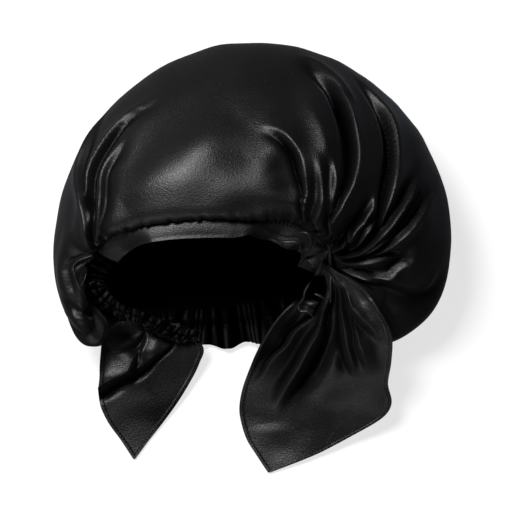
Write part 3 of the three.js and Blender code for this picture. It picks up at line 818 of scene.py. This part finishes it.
casing_spins, casing_shares = strip_grid(CASING_SPAN, 760, 24)
casing_way = {name: number * np.radians(casing_spins) for name, number in CASING_GATHERS.items()}
nape = between(casing_spins, (225, 250), (315, 335))
frill_edge = 1 + nape * (0.12 * np.sin(casing_way["edge"]) - 0.05)
casing_places = mix(-HEADER_REACH * nape, frill_edge, casing_shares)
slant = 2.5 * casing_shares * np.sin(casing_way["slant"])
casing_gather = np.sin(casing_way["fine"] + 3.5 * np.sin(casing_way["fine_shift"]) + slant)
casing_slow = np.sin(casing_way["slow"] + 2 * np.sin(casing_way["slow_shift"]) - 2 * casing_shares)
casing_lift = CASING_GATHER_RISE * casing_gather + CASING_SLOW_RISE * casing_slow
casing_lift *= smoothstep(np.abs(casing_places), 0, 0.25)
casing_grid = strip_point(casing_spins, casing_places, (1 - 2 * nape) * casing_lift)
casing_grid[..., 2] += HEADER_RISE * nape * smoothstep(-casing_places, 0, 0.3)
casing_grid[..., 2] = np.maximum(casing_grid[..., 2], CASING_FLOOR_GAP)
# Painted shade over the whole casing, lifted along the crests of the gathers, more so at the nape
casing_lit = smoothstep(casing_gather + 0.5 * casing_slow, 0.2, 1.3)
casing_shade = 1 - 0.4 * casing_lit * (0.5 + 0.5 * nape)
casing = cloth_piece("nape_casing_cloth", casing_grid, [casing_satin], CASING_THICKNESS,
                     replaces="nape_casing", slot="band_satin", shade=casing_shade)

# Ties

# Folds of the ties as for the crown, along places across the tie, from -1 to 1, and down it, from 0 to 1
MAIN_TIE_FOLD = [(-0.12, 0.256), (-0.13, 0.319), (-0.2, 0.388), (-0.27, 0.475), (-0.35, 0.544),
                 (-0.47, 0.619), (-0.57, 0.675)]
RIGHT_TIE_CREASES = {
    "left_edge": (2, 3, 2, 1, [(-0.9, 0.163), (-0.96, 0.238), (-0.96, 0.356), (-0.95, 0.419)]),
    "pocket_edge": (5, 5, 3, -5, [(-0.23, 0.06), (-0.23, 0.213), (-0.37, 0.256), (-0.52, 0.3),
        (-0.57, 0.363), (-0.72, 0.425), (-0.78, 0.494), (-0.88, 0.562)]),
    "main": (6, 4, 6, 5, [(-0.1, 0.06), *MAIN_TIE_FOLD]),
    "main_dark": (0, 4, 4.5, -4, [(-0.1, 0.1), *MAIN_TIE_FOLD]),
    "main_beside": (3, 2, 2, 2, [(-0.03, 0.06), (0, 0.25), (-0.03, 0.319), (-0.1, 0.388)]),
    "middle": (5, 5, 3, -4, [(0.17, 0.06), (0.25, 0.256), (0.32, 0.369), (0.45, 0.463), (0.55, 0.531)]),
    "middle_right": (4, 4, 2, -3, [(0.4, 0.12), (0.48, 0.35), (0.57, 0.419), (0.7, 0.5)]),
    "right_lobe": (5, 7, 3, -3, [(0.38, 0.06), (0.43, 0.181), (0.57, 0.25), (0.72, 0.306), (0.82, 0.381)]),
}
RIGHT_TIE_SWELLS = {
    "main_band": (4, 5, [(-0.2, 0.15), (-0.22, 0.3), (-0.3, 0.4), (-0.4, 0.5), (-0.55, 0.6)]),
    "pocket": (-5, 4, [(-0.5, 0.15), (-0.62, 0.24), (-0.75, 0.32)]),
    "right_valley": (-5, 5, [(0.08, 0.2), (0.08, 0.33), (0.02, 0.45), (-0.12, 0.58)]),
    "right_panel": (3, 7, [(0.5, 0.3), (0.65, 0.42), (0.75, 0.52)]),
    "low_hollow": (-1.2, 18, [(0.1, 0.6), (0.3, 0.66), (0.5, 0.7)]),
    "left_low_hollow": (-1.2, 16, [(-0.8, 0.62), (-0.6, 0.7), (-0.5, 0.78)]),
}
LEFT_TIE_CREASES = {
    "rim": (1.2, 2, 2, 0, [(-0.97, 0.02), (-0.97, 0.131), (-1.0, 0.238)]),
    "drape_outer": (2.5, 2, 5, 1.5, [(-0.1, 0.01), (-0.25, 0.05), (-0.47, 0.13), (-0.67, 0.17),
        (-0.9, 0.13), (-0.98, 0.05)]),
    "diagonal": (12, 2.4, 24, 6, [(0.48, 0.06), (0.08, 0.213), (-0.17, 0.306), (-0.47, 0.363),
        (-0.78, 0.419), (-1.0, 0.47), (-1.2, 0.52), (-1.6, 0.6)]),
    "panel_edge": (0.5, 2, 2, 4, [(-0.28, 0.15), (-0.34, 0.25), (-0.38, 0.33), (-0.42, 0.42)]),
    "lobe_edge": (2.5, 4, 3, -3, [(-0.1, 0.02), (-0.15, 0.1), (-0.2, 0.18), (-0.15, 0.26)]),
}
LEFT_TIE_SWELLS = {
    "upper_panel": (4, 12, [(-0.75, 0.2), (-0.8, 0.3), (-0.85, 0.44)]),
    "middle_lobe": (3, 6, [(0.05, 0.02), (0.05, 0.1), (0.0, 0.18), (-0.1, 0.24)]),
}
TIE_COLUMNS = 150
TIE_ROWS = 180
TIE_START = -0.06
TIE_FOLD_SHARE = 0.3
TIE_RIPPLE_RISE = 0.3
HEM_WIDTH = 3.4
HEM_STEP = 0.6
HEM_RISE = 0.5
RIM_WIDTH = 0.4
LEFT_RIM_FALL = 3
TIE_RIPPLES = ripples(9, 8, 16, 40)
tie_at, tie_along = np.meshgrid(
    np.linspace(-1, 1, TIE_COLUMNS), np.linspace(TIE_START, 1, TIE_ROWS), indexing="ij")

# The finished cloth that holds the ties up
tie_props = np.concatenate([crown_grid[::3, :60:2].reshape(-1, 3), casing_grid[::6, ::4].reshape(-1, 3)])


def tie_points(stations, folds, creases, swells, root_place, size, rim_fall=0.0):
    p, half_width = tie_form(stations, root_place, size, tie_at, tie_along, tie_props)
    normals = grid_normals(p, False)

    def tie_place(at, along):
        column = (at + 1) / 2 * (TIE_COLUMNS - 1)
        row = (along - TIE_START) / (1 - TIE_START) * (TIE_ROWS - 1)
        place, i, j = between_points(p, column, row)
        return place, normals[i, j]

    height, shade = crease_height(p, creases, tie_place)
    height += swell_height(p, swells, tie_place)
    if folds:
        height += fold_height(folds, tie_at, tie_along, half_width, TIE_FOLD_DEPTH) * TIE_FOLD_SHARE
    height += TIE_RIPPLE_RISE * rippled(p, TIE_RIPPLES) * smoothstep(tie_along, 0.1, 0.4)
    height -= rim_fall * bump(tie_at, -1, RIM_WIDTH) * between(tie_along, (0.02, 0.15), (0.35, 0.55))
    edge = (1 - np.abs(tie_at)) * half_width
    height += HEM_RISE * (1 - smoothstep(edge, HEM_WIDTH - HEM_STEP, HEM_WIDTH + HEM_STEP))
    p[..., 2] = np.maximum(p[..., 2] + height, CLOTH * 0.7)
    return p, shade


right_grid, right_shade = tie_points(
    RIGHT_TIE, RIGHT_TIE_FOLDS, RIGHT_TIE_CREASES, RIGHT_TIE_SWELLS, RIGHT_ROOT, RIGHT_TIE_SIZE)
# Painted shade over the pocket beside the cinch, on the left part of the right tie's top
knot_shade = between(tie_along, (0.02, 0.04), (0.14, 0.18)) * (1 - smoothstep(tie_at, -0.3, -0.1))
right_shade = np.maximum(right_shade, knot_shade)
tie_right = cloth_piece("tie_right_cloth", right_grid, [tie_satin], replaces="tie_right", slot="tie_satin",
                        shade=right_shade)

left_grid, left_shade = tie_points(
    LEFT_TIE, None, LEFT_TIE_CREASES, LEFT_TIE_SWELLS, LEFT_ROOT, LEFT_TIE_SIZE, LEFT_RIM_FALL)

# A nearly flat panel under the left tie's fold: its place on the tie, its reach each way, and its plane
PANEL_AT = (-0.68, 0.29)
PANEL_REACH = (0.4, 0.12)
PANEL_MIDDLE = (-108, -84, 27)
PANEL_SLOPES = (0.1, 0.13)
panel_off = [(place - middle) / reach
             for place, middle, reach in zip((tie_at, tie_along), PANEL_AT, PANEL_REACH)]
flat_panel = np.exp(-(np.abs(panel_off[0]) ** 3) - np.abs(panel_off[1]) ** 3)
panel_height = PANEL_MIDDLE[2]
for axis, slope in enumerate(PANEL_SLOPES):
    panel_height = panel_height + slope * (left_grid[..., axis] - PANEL_MIDDLE[axis])
left_grid[..., 2] = mix(left_grid[..., 2], panel_height, flat_panel)
# Painted shade in the pocket at the top of the left tie, and over its lower part
pocket_shade = 0.85 * np.exp(-((tie_at + 0.6) / 0.3) ** 2 - ((tie_along - 0.07) / 0.055) ** 2)
low_shade = 0.5 * smoothstep(tie_along + 0.15 * tie_at, 0.5, 0.7)
left_shade = np.maximum(np.maximum(left_shade, pocket_shade), low_shade)
tie_left = cloth_piece("tie_left_cloth", left_grid, [tie_satin], replaces="tie_left", slot="tie_satin",
                       shade=left_shade)

# Gathered cloth at the two cinches

ACROSS = np.array([1.0, 0, 0])
UP = np.cross(ACROSS, FORWARD) * -1
ROLL_STATIONS = 28
ROLL_SIDES = 10
ROLL_ENDS = (0.03, 0.97)
ROLL_WIDTH = 0.8
ROLL_HEIGHT = 1.3


def opening_point(places):
    """Places across, up and out from the middle of the opening."""
    places = np.asarray(places, float)
    return OPENING_MIDDLE + places @ np.stack([ACROSS, UP, FORWARD])


def crown_surface(places):
    """Places of turn and way on the finished crown."""
    column = np.interp(places[:, 0], crown_turns, np.arange(CROWN_COLUMNS))
    row = np.interp(places[:, 1], crown_ways, np.arange(CROWN_ROWS))
    return between_points(crown_grid, column, row)[0]


def rolled_fold(line, radius):
    """Vertices and faces of one soft rolled edge that thins out at both ends."""
    tangents = unit(np.gradient(line, axis=0))
    side = unit(np.cross(tangents, FORWARD))
    out = np.cross(side, tangents)
    thick = radius * np.sin(np.pi * np.linspace(*ROLL_ENDS, ROLL_STATIONS)) ** 0.5
    angle = (np.arange(ROLL_SIDES) * 2 * np.pi / ROLL_SIDES)[:, None]
    ring = side[:, None] * np.cos(angle) * ROLL_WIDTH + out[:, None] * np.sin(angle) * ROLL_HEIGHT
    vertices = (line[:, None] + ring * thick[:, None, None]).reshape(-1, 3)
    return vertices, tube_faces(ROLL_STATIONS, ROLL_SIDES)


def tube_faces(stations, sides):
    """Faces of a closed tube whose rings of vertices follow each other."""
    faces = [
        (i * sides + j, i * sides + (j + 1) % sides, (i + 1) * sides + (j + 1) % sides, (i + 1) * sides + j)
        for i in range(stations - 1) for j in range(sides)
    ]
    return faces + [tuple(range(sides - 1, -1, -1)), tuple(range((stations - 1) * sides, stations * sides))]


def joined(parts):
    vertices, faces, count = [], [], 0
    for part_vertices, part_faces in parts:
        vertices.append(part_vertices)
        faces += [tuple(v + count for v in face) for face in part_faces]
        count += len(part_vertices)
    return np.concatenate(vertices), faces


# How thick each rolled fold is, and its places: from the middle of the opening, or of turn and way
RIGHT_CINCH_FOLDS = {
    "band_edge_strand": (1.1, [(35, 55, 3), (48, 44, 5), (61, 44, 6), (64, 36, 7), (65, 27, 7),
        (62, 17, 6)]),
    "ruffle_strand": (1.3, [(63, 53, 4), (68, 54, 6), (71, 49, 7), (70, 37, 8), (66, 28, 8), (63, 18, 7)]),
    "tab_edge": (1.1, [(62, 16, 6), (77, 16, 7), (83, 10, 7), (86, -4, 5)]),
    "binding": (2.4, [(85, 36, 3), (86, 16, 11), (86, 11, 17), (86, 1, 29)]),
    "under_arc": (1.2, [(83, 15, 12.5), (77, 12, 15), (70, 7, 17), (67, 3, 20.5), (66, 0, 24),
        (62, -4, 27.5)]),
    "low_arc": (1.0, [(62, -4, 28), (64, -6, 31), (69, -5.5, 32), (74, -9, 35.5)]),
    "pleat_middle": (0.9, [(74, 4, 22.6), (79, 3, 24.5), (84, 0, 27)]),
    "pleat_low": (1.9, [(68, -1, 26.8), (72, -1, 28), (77, -1, 28)]),
}
LEFT_CINCH_FOLDS = {
    "flap_outer": (1.0, [(150, 0.01), (160, 0.09), (171, 0.16), (182.5, 0.145), (193, 0.145),
        (208, 0.175)]),
    "flap_inner": (0.9, [(153, 0.01), (168, 0.04), (180, 0.06), (197.5, 0.055), (193, 0.14)]),
}
right_folds = joined([rolled_fold(opening_point(smooth_line(route, ROLL_STATIONS)), radius)
                      for radius, route in RIGHT_CINCH_FOLDS.values()])
mesh_piece("right_cinch_folds", *right_folds, [band_satin])
left_folds = joined([rolled_fold(crown_surface(smooth_line(route, ROLL_STATIONS)), radius)
                     for radius, route in LEFT_CINCH_FOLDS.values()])
mesh_piece("left_cinch_folds", *left_folds, [band_satin])

RUFFLE_ROUTE = [
    (-93, 2, 8), (-89, -12, 9), (-82, -20, 12), (-73, -24, 16), (-63, -24, 20),
    (-52, -26, 24), (-43, -31, 26), (-34, -38, 26), (-24, -45, 24), (-13, -50, 20),
]
RUFFLE_HALF_WIDTH = 8.5
RUFFLE_END = 8
RUFFLE_BULGE = 2.5
# Millimetres in one gather of each kind
RUFFLE_GATHERS = {"fine": 3.7, "fine_shift": 13, "fine_slant": 19, "slow": 8.3, "slow_shift": 23}
ruffle_line = opening_point(smooth_line(RUFFLE_ROUTE, 420))
ruffle_run = run_along(ruffle_line)[:, None]
ruffle_side = unit(np.cross(unit(np.gradient(ruffle_line, axis=0)), FORWARD))
ruffle_share = np.linspace(1, -1, 22)[None]
ruffle_way = {name: 2 * np.pi * ruffle_run / length for name, length in RUFFLE_GATHERS.items()}
ruffle_slant = 1.6 * ruffle_share * np.sin(ruffle_way["fine_slant"])
ruffle_gather = np.sin(ruffle_way["fine"] + 1.8 * np.sin(ruffle_way["fine_shift"]) + ruffle_slant)
ruffle_slow = np.sin(ruffle_way["slow"] + 1.2 * np.sin(ruffle_way["slow_shift"]) - 1.5 * ruffle_share)
ruffle_ends = between(ruffle_run, (0, RUFFLE_END), (ruffle_run[-1] - RUFFLE_END, ruffle_run[-1]))
ruffle_reach = ruffle_share * RUFFLE_HALF_WIDTH * (0.9 + 0.15 * ruffle_slow) * (0.4 + 0.6 * ruffle_ends)
stitched = smoothstep(np.abs(np.abs(ruffle_share) - 0.35), 0, 0.25)
ruffle_lift = RUFFLE_BULGE * (1 - ruffle_share**2)
ruffle_lift = ruffle_lift + (0.7 * ruffle_gather + 0.8 * ruffle_slow) * (0.3 + 0.7 * stitched)
ruffle_points = ruffle_line[:, None] + ruffle_side[:, None] * ruffle_reach[..., None]
ruffle_points = ruffle_points + FORWARD * ruffle_lift[..., None]
# Painted shade over the ruffle, lighter along the crests of its gathers away from its stitched lines
ruffle_shade = 1 - 0.75 * smoothstep(ruffle_gather + 0.7 * ruffle_slow, -0.2, 1.4) * stitched
cloth_piece("left_cinch_ruffle", ruffle_points, [tie_satin], shade=ruffle_shade)

TAB_CORNERS = opening_point([(75, 37, 4), (84, 33, 4), (85, 4, 5), (63, 16, 6)])
TAB_BULGE = 1.5
tab_across, tab_down = np.meshgrid(np.linspace(0, 1, 12), np.linspace(1, 0, 12), indexing="ij")
tab_across, tab_down = tab_across[..., None], tab_down[..., None]
tab_top, tab_foot = (mix(TAB_CORNERS[a], TAB_CORNERS[b], tab_across) for a, b in ((0, 1), (3, 2)))
tab_points = mix(tab_top, tab_foot, tab_down) + FORWARD * TAB_BULGE * np.sin(np.pi * tab_across)
cloth_piece("right_cinch_tab", tab_points, [band_satin])

# Stitches

STITCH_SIDES = 6
# A stitch's rings: the place along it, the width, and the lift
STITCH_RINGS = ((-0.5, 0.15, -0.3), (-0.3, 1, 0.5), (0.3, 1, 0.5), (0.5, 0.15, -0.3))


def stitches(name, line, out, length, gap, radius, slant=0.0):
    """A row of short threads along a line of points on the cloth."""
    run = run_along(line)
    starts = np.arange(0, run[-1] - length, length + gap)
    tangents = unit(np.gradient(line, axis=0))

    def along(values, at):
        return np.stack([np.interp(at, run, column) for column in values.T], -1)

    middle, way, up = (along(values, starts + length / 2) for values in (line, tangents, out))
    side = unit(np.cross(way, up))
    way = unit(way + side * slant)
    side = unit(np.cross(way, up))
    angles = (np.arange(STITCH_SIDES) * 2 * np.pi / STITCH_SIDES)[:, None]
    parts = []
    for m, w, u, v in zip(middle, way, up, side):
        around = (v * np.cos(angles) + u * np.sin(angles)) * radius
        rings = [m + w * at * length + u * lift * radius + around * wide for at, wide, lift in STITCH_RINGS]
        parts.append((np.concatenate(rings), tube_faces(len(STITCH_RINGS), STITCH_SIDES)))
    return mesh_piece(name, *joined(parts), [thread])


def hem_line(grid, side, inset, start, end):
    """A line of points that runs near one side edge of a tie, and its normals."""
    normals = grid_normals(grid, False)
    if side > 0:
        grid, normals = grid[::-1], normals[::-1]
    line, out = [], []
    for row in range(round(start * grid.shape[1]), round(end * grid.shape[1])):
        strip = grid[:, row]
        near = np.interp(inset, run_along(strip), np.arange(len(strip)))
        i = min(int(near), len(strip) - 2)
        line.append(mix(strip[i], strip[i + 1], near - i))
        out.append(normals[i, row])
    return np.array(line), np.array(out)


SEAM_STITCH_STATIONS = 400
SEAM_STITCH_SHARE = 0.06
SEAM_STITCH_LIFT = 1.3
HEM_INSET = 2.6
HEM_END = 0.975
seam_spins = np.linspace(BAND_SPAN[0] + 10, BAND_SPAN[1] - 2, SEAM_STITCH_STATIONS)
seam_line = strip_point(seam_spins, SEAM_STITCH_SHARE + 0 * seam_spins, SEAM_STITCH_LIFT + 0 * seam_spins)
stitches("band_stitches", seam_line, np.tile(FORWARD, (SEAM_STITCH_STATIONS, 1)), 1.7, 1.3, 0.5, 0.4)
casing_line, casing_out = (grid[8::4, 5] for grid in (casing_grid, grid_normals(casing_grid, False)))
stitches("casing_stitches", casing_line, casing_out, 1.8, 1.2, 0.35)
for name, grid, start in (("tie_right", right_grid, 0.16), ("tie_left", left_grid, 0.12)):
    for label, side in (("left", -1), ("right", 1)):
        hem = hem_line(grid, side, HEM_INSET, start, HEM_END)
        stitches(f"{name}_hem_stitches_{label}", *hem, 1.7, 1.1, 0.34)

# Floor, light and camera

AIM = (0, 0, 0.05)
FLOOR_HALF = 4
FLOOR_DROP = 0.0003
CAMERA_LENS = 121.5
CAMERA_DISTANCE = 1.3
CAMERA_RISE = math.radians(75)

floor_mesh = bpy.data.meshes.new("floor")
floor_ways = ((-1, -1), (1, -1), (1, 1), (-1, 1))
floor_corners = [(x * FLOOR_HALF, y * FLOOR_HALF, -FLOOR_DROP) for x, y in floor_ways]
floor_mesh.from_pydata(floor_corners, [], [(0, 1, 2, 3)])
floor = in_scene("floor", floor_mesh)
floor_mesh.materials.append(plain("pale_floor", (0.28, 0.28, 0.28), 0.9, 0.1, 0.73))
floor.visible_glossy = False

# The sky's strength: for each axis, between which two values of it, and from what to what
SKY = (
    ("Z", 0.05, 0.5, 5, 0.2),
    ("X", -0.9, 0.9, 1.3, 0.25),
    ("Y", -0.7, 0.3, 0.3, 1.0),
    ("Z", -0.1, 0.1, 0.5, 1.0),
)
world = bpy.data.worlds.new("studio")
world.use_nodes = True
sky = world.node_tree
sky_way = add_node(sky, "ShaderNodeTexCoord").outputs["Generated"]
sky_parts = add_node(sky, "ShaderNodeSeparateXYZ", {0: sky_way}).outputs
strengths = [ranged(sky, sky_parts[axis], *limits, interpolation_type="SMOOTHSTEP") for axis, *limits in SKY]
strength = strengths.pop(0)
for factor in strengths:
    strength = product(sky, strength, factor)
sky.links.new(strength, sky.nodes["Background"].inputs["Strength"])
bpy.context.scene.world = world
bpy.context.scene.view_settings.view_transform = "Standard"


def aimed(name, data, place):
    thing = in_scene(name, data)
    thing.location = place
    thing.rotation_euler = (Vector(AIM) - Vector(place)).to_track_quat("-Z", "Y").to_euler()
    return thing


def soft_light(name, place, size, power):
    light = bpy.data.lights.new(name, "AREA")
    light.shape = "RECTANGLE"
    light.size, light.size_y = size
    light.energy = power
    aimed(name, light, place)


soft_light("key_light", (-0.62, 0.45, 1.7), (0.55, 0.55), 44)
soft_light("front_light", (-0.5, -1.6, 0.7), (0.9, 0.5), 6)

camera_data = bpy.data.cameras.new("camera")
camera_data.lens = CAMERA_LENS
camera_back = CAMERA_DISTANCE * math.cos(CAMERA_RISE)
camera_place = (0, -camera_back, AIM[2] + CAMERA_DISTANCE * math.sin(CAMERA_RISE))
bpy.context.scene.camera = aimed("camera", camera_data, camera_place)
